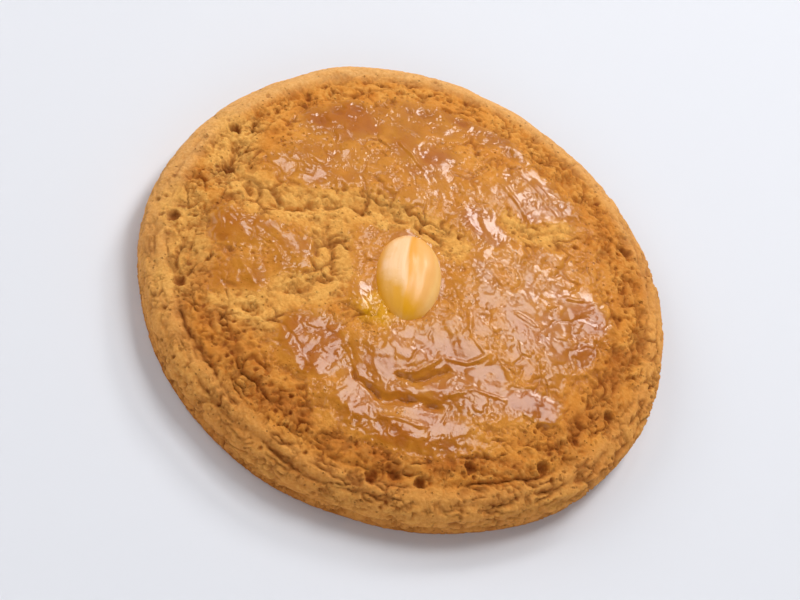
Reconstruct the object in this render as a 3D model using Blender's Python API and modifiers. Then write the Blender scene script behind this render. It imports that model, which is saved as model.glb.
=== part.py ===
"""A glazed round almond cookie, lying flat with its almond side up.

Units are metres and +Z is up. The origin is the middle of the flat base, on the surface that the
cookie rests on. X runs along the longer way of the view that shows the almond upright, and Y points
to the far edge.

The dough is one turned disc with a domed top, a rolled rim and a thin foot. Relief is pressed into
it: the long breaks between the raised plates of the top, the pitted ring inside the rim, the splits
that follow the edge, and the uneven outline. Half an almond sits in a socket near the middle.
"""
import math
import random

import bpy
from mathutils import Vector, kdtree, noise

MM = 0.001

# The disc
COOKIE_RADIUS = 47.3 * MM
CROWN_HEIGHT = 13.0 * MM
BELLY_HEIGHT = 4.6 * MM
FOOT_RADIUS = 44.9 * MM
DOME_ROUNDNESS = 2.4
DOME_FALL = 0.42
WALL_FULLNESS = 0.8
TURN_STEPS = 300
SECTION_STEP = 0.85 * MM
BASE_TRIM = 0.8 * MM
DOUGH_TRIANGLE_SHARE = 0.26

# The uneven outline: how far the edge wanders, and how many waves each part has
OUTLINE_WAVES = ((2, 0.45 * MM, 0.6), (3, 0.35 * MM, 2.1), (5, 0.22 * MM, 4.0), (11, 0.12 * MM, 1.2))

# Breaks through the top, each a route in millimetres with its half width and depth
CENTRE_TO_LEFT = ((-40, 9.5), (-37.5, 1), (-31, -3), (-25.5, -2.3), (-20.5, 0.6), (-17.5, 3.4),
                  (-12, 5.6), (-9, 6.6), (-2, 7.6), (3, 7.0))
LEFT_BRANCH_DOWN = ((-18, 2), (-16.3, -3.7), (-13.4, -8.7), (-12.7, -12.3), (-15, -16),
                    (-18.5, -18.8), (-19.2, -23.7), (-25, -25.2))
BELOW_ALMOND = ((13.7, -15.9), (8.7, -21.6), (5, -23))
LOWER_MIDDLE = ((-2, -26), (5, -28), (11, -25.2), (15.2, -23.6))
UPPER_RIGHT = ((10, 18.4), (14.4, 17.7), (19.4, 23.4))
FAR_LEFT = ((-40.5, -10), (-34.8, -19.4), (-34.4, -24.6))
BREAKS = (
    (CENTRE_TO_LEFT, 1.5 * MM, 1.5 * MM),
    (LEFT_BRANCH_DOWN, 1.3 * MM, 1.3 * MM),
    (BELOW_ALMOND, 1.1 * MM, 0.9 * MM),
    (LOWER_MIDDLE, 1.1 * MM, 1.0 * MM),
    (UPPER_RIGHT, 1.0 * MM, 0.7 * MM),
    (FAR_LEFT, 1.3 * MM, 1.0 * MM),
)
BREAK_WANDER = 0.8 * MM
BREAK_WANDER_SCALE = 3.5 * MM
BREAK_TAPER = 0.12
BREAK_END_DEPTH = 0.25
PLATE_RISE = 0.45 * MM
PLATE_SHOULDER = 6.0 * MM

# Splits that follow the edge: radius in millimetres, first and last angle in degrees, depth
EDGE_SPLITS = (
    (39.5, 222, 262, 0.9 * MM),
    (43.3, 214, 250, 1.0 * MM),
    (45.6, 236, 292, 1.1 * MM),
    (41.5, 262, 300, 0.8 * MM),
    (42.3, 294, 334, 1.1 * MM),
    (45.2, 300, 350, 0.8 * MM),
    (44.2, 22, 58, 0.6 * MM),
    (42.2, 96, 150, 0.6 * MM),
    (44.6, 168, 200, 0.6 * MM),
)
EDGE_SPLIT_HALF_WIDTH = 1.0 * MM
EDGE_SPLIT_TAPER = 8.0

# Ledges round the side wall: height, depth, and the seed of where each one opens and closes
WALL_LEDGES = ((2.9 * MM, 0.95 * MM, 3.0), (5.9 * MM, 0.55 * MM, 9.0), (7.8 * MM, 0.4 * MM, 17.0))
WALL_LEDGE_HALF_WIDTH = 1.0 * MM
LEDGE_OPENING = 0.65
WALL_STARTS = 44.0 * MM
WALL_EASE = 2.0 * MM
TOP_EASE = 2.5 * MM

# The pitted ring between the glazed top and the smooth rim
PIT_COUNT = 150
PIT_SEED = 41
PIT_RING = (33.0 * MM, 43.5 * MM)
PIT_RADIUS = (0.7 * MM, 1.5 * MM)
PIT_DEPTH = 0.75 * MM
DEEP_PITS = ((-40.5, 10), (-37.8, 1), (-41, -13), (-34.5, -24.5), (9.8, -41.5), (13, -39.4),
             (17.4, -38.2), (23.8, -31), (34.4, -23), (40.8, -6.6), (31, 28))
DEEP_PIT_RADIUS = 1.9 * MM
DEEP_PIT_DEPTH = 1.3 * MM
RING_DIP = 0.45 * MM
RING_CENTRE = 39.8 * MM
RING_HALF_WIDTH = 5.0 * MM
RIM_ROLL = 0.35 * MM
RIM_ROLL_CENTRE = 44.6 * MM
RIM_ROLL_HALF_WIDTH = 2.6 * MM

# Broad swells of the top, and the crumbled dough that shows between the plates
SWELL_HEIGHT = 0.35 * MM
SWELL_SCALE = 13.0 * MM
CRUMBLE_HEIGHT = 0.3 * MM
CRUMBLE_SCALE = 3.2 * MM
WRINKLE_HEIGHT = 0.5 * MM
WRINKLE_SCALE = 6.5 * MM
WRINKLE_BEND = 1.8 * MM
WRINKLE_BEND_SCALE = 9.0 * MM
WRINKLED_RADIUS = 37.0 * MM
WRINKLE_EASE = 6.0 * MM

# Half an almond, with its narrow end towards the near side
ALMOND_CENTRE = Vector((-0.9 * MM, -3.8 * MM, 12.2 * MM))
ALMOND_LENGTH = 18.6 * MM
ALMOND_WIDTH = 12.0 * MM
ALMOND_RISE = 3.9 * MM
ALMOND_SINK = 2.0 * MM
ALMOND_TURN = math.radians(17)
ALMOND_TAPER = 0.07
ALMOND_GROOVE = 0.22 * MM
ALMOND_SEGMENTS = 30
ALMOND_RINGS = 16
SOCKET_GAP = 0.3 * MM
NEST_RISE = 0.5 * MM
NEST_WIDTH = 5.0 * MM


def smooth_step(value):
    """Ease a value from 0 to 1, with flat ends."""
    value = max(0.0, min(1.0, value))
    return value * value * (3.0 - 2.0 * value)


def waviness(place, scale, seed):
    """Smooth unevenness between about -1 and 1, at a size and from a seed."""
    return noise.noise(Vector((place[0] / scale + seed, place[1] / scale - seed, place[2] / scale)))


def edge_radius(angle):
    """Radius of the uneven outline at an angle."""
    radius = COOKIE_RADIUS
    for count, height, phase in OUTLINE_WAVES:
        radius += height * math.sin(count * angle + phase)
    return radius


def section_points():
    """The disc's half section, from the middle of the top round to the middle of the base."""
    outline = []
    for step in range(401):
        share = math.sin(math.pi / 2 * step / 400)
        fall = (1.0 - share ** DOME_ROUNDNESS) ** DOME_FALL
        outline.append((COOKIE_RADIUS * share, BELLY_HEIGHT + (CROWN_HEIGHT - BELLY_HEIGHT) * fall))
    wall_height = BELLY_HEIGHT + BASE_TRIM
    for step in range(1, 41):
        turn = math.pi / 2 * step / 40
        radius = FOOT_RADIUS + (COOKIE_RADIUS - FOOT_RADIUS) * math.cos(turn) ** WALL_FULLNESS
        outline.append((radius, BELLY_HEIGHT - wall_height * math.sin(turn)))
    points = [outline[0]]
    walked = 0.0
    for before, after in zip(outline, outline[1:]):
        walked += math.dist(before, after)
        if walked >= SECTION_STEP:
            points.append(after)
            walked = 0.0
    points.append(outline[-1])
    points.append((FOOT_RADIUS * 0.5, -BASE_TRIM))
    points.append((0.0, -BASE_TRIM))
    return points


def turned_mesh(name, points):
    """A closed mesh turned from a half section that starts and ends on the axis."""
    mesh = bpy.data.meshes.new(name)
    mesh.from_pydata([(radius, 0.0, height) for radius, height in points],
                     [(index, index + 1) for index in range(len(points) - 1)], [])
    turned = bpy.data.objects.new(name, mesh)
    bpy.context.scene.collection.objects.link(turned)
    screw = turned.modifiers.new("turn", "SCREW")
    screw.axis = "Z"
    screw.steps = TURN_STEPS
    screw.render_steps = TURN_STEPS
    screw.use_merge_vertices = True
    screw.merge_threshold = 0.00001
    graph = bpy.context.evaluated_depsgraph_get()
    result = bpy.data.meshes.new_from_object(turned.evaluated_get(graph))
    result.name = name
    bpy.data.objects.remove(turned)
    return result


def distance_to_route(x, y, route):
    """Distance from a place to a route, and the share of the route's length at the nearest point."""
    nearest = 1.0
    along = 0.0
    here = Vector((x, y))
    for index in range(len(route) - 1):
        start = Vector(route[index]) * MM
        step = Vector(route[index + 1]) * MM - start
        share = max(0.0, min(1.0, (here - start).dot(step) / step.length_squared))
        gap = (here - start - step * share).length
        if gap < nearest:
            nearest = gap
            along = (index + share) / (len(route) - 1)
    return nearest, along


def break_depth(place):
    """How deep the breaks through the top are at a place."""
    x = place.x + BREAK_WANDER * waviness(place, BREAK_WANDER_SCALE, 5.3)
    y = place.y + BREAK_WANDER * waviness(place, BREAK_WANDER_SCALE, 8.9)
    depth = 0.0
    for route, half_width, full_depth in BREAKS:
        gap, along = distance_to_route(x, y, route)
        if gap < half_width:
            ends = smooth_step(min(along, 1.0 - along) / BREAK_TAPER + BREAK_END_DEPTH)
            depth = max(depth, full_depth * ends * (1.0 - (gap / half_width) ** 1.5))
    return depth


def edge_split_depth(place, radius, angle):
    """How deep the splits that follow the edge are at a place."""
    degrees = math.degrees(angle) % 360.0
    wander = 1.1 * MM * waviness(place, 7.0 * MM, 2.2) + 0.5 * MM * waviness(place, 2.5 * MM, 6.1)
    depth = 0.0
    for split_radius, first, last, full_depth in EDGE_SPLITS:
        if first < degrees < last:
            gap = abs(radius + wander - split_radius * MM)
            ends = smooth_step(min(degrees - first, last - degrees) / EDGE_SPLIT_TAPER)
            closeness = max(0.0, 1.0 - gap / EDGE_SPLIT_HALF_WIDTH)
            depth = max(depth, full_depth * ends * closeness)
    return depth


def ledge_depth(place, angle):
    """How far the ledges of the side wall cut in at a height."""
    depth = 0.0
    for height, full_depth, seed in WALL_LEDGES:
        ring = Vector((math.cos(angle) * 2.2, math.sin(angle) * 2.2, seed))
        level = height + 0.7 * MM * noise.noise(ring * 2.0)
        opening = smooth_step(LEDGE_OPENING + 1.5 * noise.noise(ring))
        closeness = max(0.0, 1.0 - abs(place.z - level) / WALL_LEDGE_HALF_WIDTH)
        depth = max(depth, full_depth * opening * closeness)
    return depth


def pit_tree():
    """The pits' middles in a tree for quick search, and the radius and depth of each."""
    draw = random.Random(PIT_SEED)
    tree = kdtree.KDTree(PIT_COUNT + len(DEEP_PITS))
    pits = []
    for _ in range(PIT_COUNT):
        angle = draw.uniform(0.0, 2.0 * math.pi)
        radius = draw.uniform(*PIT_RING)
        tree.insert((radius * math.cos(angle), radius * math.sin(angle), 0.0), len(pits))
        pits.append((draw.uniform(*PIT_RADIUS), PIT_DEPTH))
    for x, y in DEEP_PITS:
        tree.insert((x * MM, y * MM, 0.0), len(pits))
        pits.append((DEEP_PIT_RADIUS, DEEP_PIT_DEPTH))
    tree.balance()
    return tree, pits


def pit_depth(place, tree, pits):
    """How deep the pits near a place are there."""
    depth = 0.0
    for _, index, gap in tree.find_n((place.x, place.y, 0.0), 3):
        radius, full_depth = pits[index]
        depth = max(depth, full_depth * (1.0 - (gap / radius) ** 2))
    return depth


def plate_rise(place):
    """How far the plates of the top bulge, away from the breaks between them."""
    gap = min(distance_to_route(place.x, place.y, route)[0] for route, _, _ in BREAKS)
    return PLATE_RISE * smooth_step(gap / PLATE_SHOULDER)


def wrinkle(place):
    """Folds of the glazed skin, as creases between rounded ridges."""
    sideways = waviness(place, WRINKLE_BEND_SCALE, 4.4)
    lengthways = waviness(place, WRINKLE_BEND_SCALE, 6.6)
    bent = place + WRINKLE_BEND * Vector((sideways, lengthways, 0.0))
    crease = 1.0 - min(1.0, 3.0 * abs(waviness(bent, WRINKLE_SCALE, 12.5)))
    inside = smooth_step((WRINKLED_RADIUS - place.xy.length) / WRINKLE_EASE)
    return -WRINKLE_HEIGHT * crease * inside


def nest_rise(place):
    """How far the dough climbs towards the almond."""
    gap = (Vector((place.x, place.y)) - ALMOND_CENTRE.xy).length - ALMOND_WIDTH / 2
    return NEST_RISE * smooth_step(1.0 - gap / NEST_WIDTH)


def relief(place, tree, pits):
    """Height of the relief along the surface's normal, at a place on the turned disc."""
    radius = place.xy.length
    angle = math.atan2(place.y, place.x)
    on_top = smooth_step((place.z - BELLY_HEIGHT) / TOP_EASE)
    on_wall = smooth_step((radius - WALL_STARTS) / WALL_EASE)
    ring = smooth_step(1.0 - abs(radius - RING_CENTRE) / RING_HALF_WIDTH)
    roll = smooth_step(1.0 - abs(radius - RIM_ROLL_CENTRE) / RIM_ROLL_HALF_WIDTH)
    swell = SWELL_HEIGHT * (waviness(place, SWELL_SCALE, 1.7) + 0.5 * waviness(place, SWELL_SCALE / 2, 3.1))
    crumble = CRUMBLE_HEIGHT * (0.35 + ring) * waviness(place, CRUMBLE_SCALE, 7.7)
    height = swell + crumble + wrinkle(place) + plate_rise(place) + nest_rise(place)
    height += RIM_ROLL * roll - RING_DIP * ring
    height *= on_top
    cuts = max(break_depth(place), edge_split_depth(place, radius, angle), pit_depth(place, tree, pits))
    height -= on_top * cuts
    height -= on_wall * ledge_depth(place, angle)
    return height


def centre_on_axis(mesh):
    """Move a mesh so that the Z axis runs through the middle of its outline."""
    for way in (0, 1):
        places = [vertex.co[way] for vertex in mesh.vertices]
        middle = (min(places) + max(places)) / 2
        for vertex in mesh.vertices:
            vertex.co[way] -= middle


def make_dough(collection):
    """The disc of dough, with its relief pressed in."""
    mesh = turned_mesh("cookie", section_points())
    tree, pits = pit_tree()
    normals = [vertex.normal.copy() for vertex in mesh.vertices]
    for vertex, normal in zip(mesh.vertices, normals):
        place = vertex.co.copy()
        moved = place
        if place.z > 0.0:
            moved = place + normal * relief(place, tree, pits)
        outline = edge_radius(math.atan2(place.y, place.x)) / COOKIE_RADIUS
        stretch = 1.0 + (outline - 1.0) * (place.xy.length / COOKIE_RADIUS) ** 2
        vertex.co = Vector((moved.x * stretch, moved.y * stretch, moved.z))
    centre_on_axis(mesh)
    mesh.shade_smooth()
    dough = bpy.data.objects.new("cookie", mesh)
    collection.objects.link(dough)
    thin = dough.modifiers.new("fewer triangles", "DECIMATE")
    thin.ratio = DOUGH_TRIANGLE_SHARE
    return dough


def almond_mesh(name, growth):
    """Half an almond about its own middle, its long way along Y and its narrow end at -Y."""
    bpy.ops.mesh.primitive_uv_sphere_add(segments=ALMOND_SEGMENTS, ring_count=ALMOND_RINGS, radius=1.0)
    ball = bpy.context.object
    mesh = ball.data
    mesh.name = name
    for vertex in mesh.vertices:
        x, y, z = vertex.co
        width = (ALMOND_WIDTH / 2 + growth) * (1.0 + ALMOND_TAPER * y * (1.0 - 0.6 * y))
        length = ALMOND_LENGTH / 2 + growth
        if z > 0.0:
            height = (ALMOND_RISE + growth) * z
        else:
            height = (ALMOND_SINK + growth) * z
        height -= ALMOND_GROOVE * max(0.0, z) * math.exp(-((x - 0.12) / 0.2) ** 2)
        vertex.co = Vector((width * x, length * y, height))
    bpy.data.objects.remove(ball)
    mesh.shade_smooth()
    return mesh


def place_almond(item):
    """Turn and set down an almond, or the cutter of its socket."""
    item.location = ALMOND_CENTRE
    item.rotation_euler = (0.0, 0.0, ALMOND_TURN)


def make_cutter(name, mesh, collection):
    """An object that only cuts, shown as wires."""
    cutter = bpy.data.objects.new(name, mesh)
    cutter.hide_render = True
    cutter.display_type = "WIRE"
    collection.objects.link(cutter)
    return cutter


def cut(item, cutter, name):
    """Take the cutter's shape out of an item."""
    boolean = item.modifiers.new(name, "BOOLEAN")
    boolean.operation = "DIFFERENCE"
    boolean.solver = "EXACT"
    boolean.object = cutter


def base_cutter(collection):
    """The block under the cookie that trims its base flat."""
    width = 2.5 * COOKIE_RADIUS
    depth = 5.0 * BASE_TRIM
    bpy.ops.mesh.primitive_cube_add(size=1.0)
    block = bpy.context.object
    mesh = block.data
    mesh.name = "base_trim"
    for vertex in mesh.vertices:
        vertex.co = Vector((vertex.co.x * width, vertex.co.y * width, (vertex.co.z - 0.5) * depth))
    bpy.data.objects.remove(block)
    return make_cutter("base_trim", mesh, collection)


def make_material(name, colour, roughness):
    """A plain food surface with a colour and a roughness."""
    material = bpy.data.materials.new(name)
    material.use_nodes = True
    shader = material.node_tree.nodes["Principled BSDF"]
    shader.inputs["Base Color"].default_value = (*colour, 1.0)
    shader.inputs["Roughness"].default_value = roughness
    shader.inputs["Metallic"].default_value = 0.0
    return material


def main():
    for item in list(bpy.data.objects):
        bpy.data.objects.remove(item)
    cookie_parts = bpy.data.collections.new("almond_cookie")
    cutters = bpy.data.collections.new("cutters")
    bpy.context.scene.collection.children.link(cookie_parts)
    bpy.context.scene.collection.children.link(cutters)

    dough = make_dough(cookie_parts)
    dough.data.materials.append(make_material("baked dough", (0.60, 0.30, 0.09), 0.6))
    cut(dough, base_cutter(cutters), "flat base")
    socket = make_cutter("almond_socket", almond_mesh("almond_socket", SOCKET_GAP), cutters)
    place_almond(socket)
    cut(dough, socket, "almond socket")

    almond = bpy.data.objects.new("almond", almond_mesh("almond", 0.0))
    place_almond(almond)
    almond.data.materials.append(make_material("blanched almond", (0.85, 0.52, 0.18), 0.3))
    cookie_parts.objects.link(almond)


main()
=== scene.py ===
"""A glazed round almond cookie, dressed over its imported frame, on a pale floor in soft studio light.

The dough is a fine mesh with the solid's own form and far more relief: grains, pores, ragged breaks
and splits. The glaze is a thin wrinkled shell that lies on it in pools and dives under it at their
edges. The almond half is ridged along its length and glazed at one end. Units are metres.
"""
import math
import random
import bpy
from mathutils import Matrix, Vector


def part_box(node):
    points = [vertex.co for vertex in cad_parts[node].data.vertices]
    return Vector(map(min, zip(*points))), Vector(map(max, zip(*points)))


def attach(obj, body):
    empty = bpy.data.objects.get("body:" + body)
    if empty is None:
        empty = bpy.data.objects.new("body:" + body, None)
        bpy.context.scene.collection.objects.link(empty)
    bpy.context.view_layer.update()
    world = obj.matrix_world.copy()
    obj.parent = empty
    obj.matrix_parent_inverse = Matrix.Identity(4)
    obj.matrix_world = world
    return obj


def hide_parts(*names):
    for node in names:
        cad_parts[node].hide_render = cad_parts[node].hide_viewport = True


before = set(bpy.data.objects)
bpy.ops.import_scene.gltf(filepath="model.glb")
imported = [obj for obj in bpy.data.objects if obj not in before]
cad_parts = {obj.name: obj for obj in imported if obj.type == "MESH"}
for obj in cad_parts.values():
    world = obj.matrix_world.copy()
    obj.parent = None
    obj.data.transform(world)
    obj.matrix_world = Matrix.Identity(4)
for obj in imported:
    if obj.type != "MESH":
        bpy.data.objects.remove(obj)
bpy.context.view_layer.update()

from types import SimpleNamespace

import bpy
import numpy as np
from mathutils import Matrix, Vector, kdtree, noise

MM = 0.001

# The disc, as in the solid
COOKIE_RADIUS = 47.3 * MM
CROWN_HEIGHT = 13.0 * MM
BELLY_HEIGHT = 4.6 * MM
FOOT_RADIUS = 44.9 * MM
DOME_ROUNDNESS = 2.4
DOME_FALL = 0.42
WALL_FULLNESS = 0.8
BASE_TRIM = 0.8 * MM
OUTLINE_WAVES = ((2, 0.45 * MM, 0.6), (3, 0.35 * MM, 2.1), (5, 0.22 * MM, 4.0), (11, 0.12 * MM, 1.2))
GRAIN_STEP = 0.24 * MM
BASE_STEP = 1.1 * MM
FOOT_ROUNDING = 0.5 * MM
BASE_HOLLOW = 0.25 * MM

# Breaks through the top: a route in millimetres, half width, depth, and the bare width beside it
CENTRE_TO_LEFT = ((-40, 9.5), (-37.5, 1), (-31, -3), (-25.5, -2.3), (-20.5, 0.6), (-17.5, 3.4),
                  (-12, 5.6), (-9, 6.6), (-2, 7.6), (3, 7.0))
LEFT_BRANCH_DOWN = ((-18, 2), (-16.3, -3.7), (-13.4, -8.7), (-12.7, -12.3), (-15, -16),
                    (-18.5, -18.8), (-19.2, -23.7), (-25, -25.2))
BELOW_ALMOND = ((13.7, -15.9), (8.7, -21.6), (5, -23))
LOWER_MIDDLE = ((-2, -26), (5, -28), (11, -25.2), (15.2, -23.6))
UPPER_RIGHT = ((10, 18.4), (14.4, 17.7), (19.4, 23.4))
FAR_LEFT = ((-40.5, -10), (-34.8, -19.4), (-34.4, -24.6))
BREAKS = (
    (CENTRE_TO_LEFT, 1.5 * MM, 1.5 * MM, 1.6 * MM),
    (LEFT_BRANCH_DOWN, 1.3 * MM, 1.3 * MM, 1.3 * MM),
    (BELOW_ALMOND, 1.1 * MM, 0.9 * MM, 0.0),
    (LOWER_MIDDLE, 1.1 * MM, 1.0 * MM, 0.0),
    (UPPER_RIGHT, 1.0 * MM, 0.7 * MM, 0.3 * MM),
    (FAR_LEFT, 1.3 * MM, 1.0 * MM, 1.5 * MM),
)
BREAK_TAPER = 0.12
BREAK_END_DEPTH = 0.25
BREAK_SHARE = 0.55
CORE_SHARE = 0.50
TORN_WIDTH = 4.5 * MM
PLATE_RISE = 0.45 * MM
PLATE_SHOULDER = 6.0 * MM

# Uneven shifts, each with its reach, its size and the seeds of its two directions
BREAK_WANDER = ((0.8 * MM, 3.5 * MM, 5.3, 8.9), (0.45 * MM, 1.2 * MM, 3.7, 9.1))
POOL_WANDER = ((1.5 * MM, 5.0 * MM, 14.3, 17.9), (0.8 * MM, 1.7 * MM, 21.3, 25.7))
CREASE_WANDER = ((0.3 * MM, 3.0 * MM, 91.0, 93.0),)

# Soft uneven patches, each with its size, seed, cover and sharpness
BREAK_OPENINGS = (4.5 * MM, 15.7, 0.62, 1.1)
BREAK_SPLITS = (2.8 * MM, 19.2, 0.45, 2.2)
EDGE_OPENINGS = (4.0 * MM, 27.4, 0.5, 1.7)
RING_CRACK_PATCHES = (3.6 * MM, 41.0, 0.42, 2.0)
TOP_CRACK_PATCHES = (5.0 * MM, 47.0, 0.25, 2.0)
CHINK_PATCHES = (2.2 * MM, 48.0, 0.1, 2.4)
PORE_PATCHES = (4.5 * MM, 67.0, 0.5, 1.6)
CRUMB_PATCHES = (6.0 * MM, 69.0, 0.55, 1.5)
BROWNED_PATCHES = (5.0 * MM, 95.0, 0.55, 1.4)
SHEEN_PATCHES = (7.0 * MM, 37.7, 0.9, 1.2)
THIN_SPOTS = (2.1 * MM, 33.3, 0.0, 2.0)
ALMOND_FILM_PATCHES = (6.0 * MM, 35.1, 0.55, 1.2)
ALMOND_LIP_PATCHES = (5.0 * MM, 39.0, 0.5, 1.5)
BASE_PATCHES = (9.0 * MM, 81.0, 0.5, 0.8)

# Splits that follow the edge: radius in millimetres, first and last angle in degrees, depth
EDGE_SPLITS = (
    (39.5, 222, 262, 0.9 * MM),
    (43.3, 214, 250, 1.0 * MM),
    (45.6, 236, 292, 1.1 * MM),
    (41.5, 262, 300, 0.8 * MM),
    (42.3, 294, 334, 1.1 * MM),
    (45.2, 300, 350, 0.8 * MM),
    (44.2, 22, 58, 0.6 * MM),
    (42.2, 96, 150, 0.6 * MM),
    (44.6, 168, 200, 0.6 * MM),
)
EDGE_SPLIT_HALF_WIDTH = 1.0 * MM
EDGE_SPLIT_TAPER = 8.0

# Ledges round the side wall: height, depth, and the seed of where each one opens and closes
WALL_LEDGES = ((2.9 * MM, 0.95 * MM, 3.0), (5.9 * MM, 0.55 * MM, 9.0), (7.8 * MM, 0.4 * MM, 17.0))
WALL_LEDGE_HALF_WIDTH = 1.0 * MM
LEDGE_OPENING = 0.65
LEDGE_SHARE = 0.7
WALL_STARTS = 44.0 * MM
WALL_EASE = 2.0 * MM
TOP_EASE = 2.5 * MM

# The pitted ring between the glazed top and the smooth rim
PIT_COUNT = 150
PIT_SEED = 41
PIT_RING = (33.0 * MM, 43.5 * MM)
PIT_RADIUS = (0.7 * MM, 1.5 * MM)
PIT_DEPTH = 0.75 * MM
DEEP_PITS = ((-40.5, 10), (-37.8, 1), (-41, -13), (-34.5, -24.5), (9.8, -41.5), (13, -39.4),
             (17.4, -38.2), (23.8, -31), (34.4, -23), (40.8, -6.6), (31, 28))
DEEP_PIT_RADIUS = 1.9 * MM
DEEP_PIT_DEPTH = 1.3 * MM
PIT_SHARE = 0.6
DEEP_PIT_SHARE = 0.62
RING_DIP = 0.45 * MM
RING_CENTRE = 39.8 * MM
RING_HALF_WIDTH = 5.0 * MM
RIM_ROLL = 0.35 * MM
RIM_ROLL_CENTRE = 44.6 * MM
RIM_ROLL_HALF_WIDTH = 2.6 * MM

# Broad swells of the top, crumbled dough between the plates, and folds of the glazed skin
SWELL_HEIGHT = 0.35 * MM
SWELL_SCALE = 13.0 * MM
CRUMBLE_HEIGHT = 0.22 * MM
CRUMBLE_SCALE = 3.2 * MM
WRINKLE_HEIGHT = 0.5 * MM
WRINKLE_SCALE = 6.5 * MM
WRINKLE_BEND = 1.8 * MM
WRINKLE_BEND_SCALE = 9.0 * MM
WRINKLED_RADIUS = 37.0 * MM
WRINKLE_EASE = 6.0 * MM

# Finer relief than the solid's: crumbs that stand proud, open pores, and short cracks
CRUMB_COUNT = 42000
CRUMB_RADIUS = (0.25 * MM, 0.62 * MM)
CRUMB_HEIGHT = 0.46
CRUMB_LEVEL = 0.12 * MM
CRUMB_WARP = 0.22 * MM
PORE_COUNT = 1300
PORE_RADIUS = (0.20 * MM, 0.50 * MM)
PORE_HEIGHT = 1.4
CRACK_DEPTH = 0.95 * MM
CRACK_WIDTH = 0.15
RING_CRACK_SIZE = 2.6 * MM
RING_CRACK_STRETCH = 1.8
TOP_CRACK_SIZE = 4.6 * MM
CHINK_SIZE = 1.25 * MM
CHINK_WIDTH = 0.24
CHINK_SHARE = 0.6
FINE_HEIGHT = 0.075 * MM
SMOOTH_RIM_ANGLE = math.radians(125)

# How much of each relief the smooth rim takes away, and how much the glaze does
PORES_CALMED = (0.6, 0.85)
CRACKS_CALMED = (0.75, 0.72)
CRUMBS_CALMED = (0.82, 0.94)
FINE_CALMED = (0.4, 0.86)

# The browned band inside the rim
BROWNED_RADIUS = 39.0 * MM
BROWNED_HALF_WIDTH = 5.5 * MM

# Glaze pools in millimetres: middle, half length, half width, turn in degrees, thickness from 0 to 1
GLAZE_POOLS = (
    (7, 5, 33, 31, 0, 0.45),
    (0, -24, 9, 8, 0, 0.66),
    (-25, 21.5, 11, 6.5, 30, 0.8),
    (-9, 22.5, 9, 8, 0, 0.7),
    (-21, 12, 14, 9, 25, 0.52),
    (-13, 29, 12, 9, 40, 0.55),
    (-27, 6.5, 9, 4.8, 10, 0.6),
    (-29, -10.5, 11, 6, 15, 0.62),
    (-25.5, -20.5, 8, 8, 0, 0.52),
    (-19, -11, 7, 7.5, 0, 0.55),
    (-10, -25, 8, 8, 0, 0.78),
    (9, -29, 19, 9.5, 12, 0.68),
    (13, -17, 17, 10, 0, 0.68),
    (24, 2, 14, 16, 0, 0.6),
    (30, 9, 4.5, 5.5, 0, 0.85),
    (27, -14, 7, 4, 10, 0.85),
    (32.5, 1, 3, 4.5, 0, 0.8),
    (13, 26, 12, 8, -15, 0.62),
    (0, 34.5, 11, 3.2, 0, 0.7),
    (7, 14.5, 7, 5.5, 0, 0.7),
    (10, 1, 9, 12, 0, 0.5),
    (-9.5, -3, 4, 8, 0, 0.4),
    (-6, -11.5, 5, 4.5, 0, 0.55),
)
HONEY_POOL = (-3.3, -12.8, 4.7)
GLAZE_RADIUS = 40.0 * MM
GLAZE_EDGE = 4.0 * MM
GLAZE_THICKNESS = 0.28 * MM
GLAZE_SHOWS = 0.17
GLAZE_SHEEN = 0.14
COVER_STARTS = 0.12
COVER_EASE = 0.40
GLAZE_BARE_WIDTH = 3.2 * MM
GLAZE_LIFT = 0.05 * MM
GLAZE_DIVE = 0.14 * MM
GLAZE_DIVE_EASE = 0.06
SHELL_THICKNESS = 0.45 * MM
ALMOND_FILM = 0.5
ALMOND_FILM_WIDTH = 3.0 * MM
ALMOND_LIP = 0.12 * MM
ALMOND_LIP_WIDTH = 1.6 * MM

# Folds of the glaze, like those of crumpled film: size, height, turn in degrees and seed of each set
FILM_FOLDS = (
    (8.6 * MM, 0.50 * MM, -25, 3),
    (4.4 * MM, 0.21 * MM, 28, 11),
    (2.2 * MM, 0.06 * MM, -48, 23),
)
FOLD_STRETCH = 1.6
FOLD_BEND = 0.07
FOLD_SHARE_OF_SKIN = 0.18
HATCHES = ((13, 26, 8), (24, -7, 5), (31, -17, 4))
HATCH_TURN = -24
HATCH_SIZE = 1.35 * MM
HATCH_STRETCH = 5.0
HATCH_HEIGHT = 0.085 * MM

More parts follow.
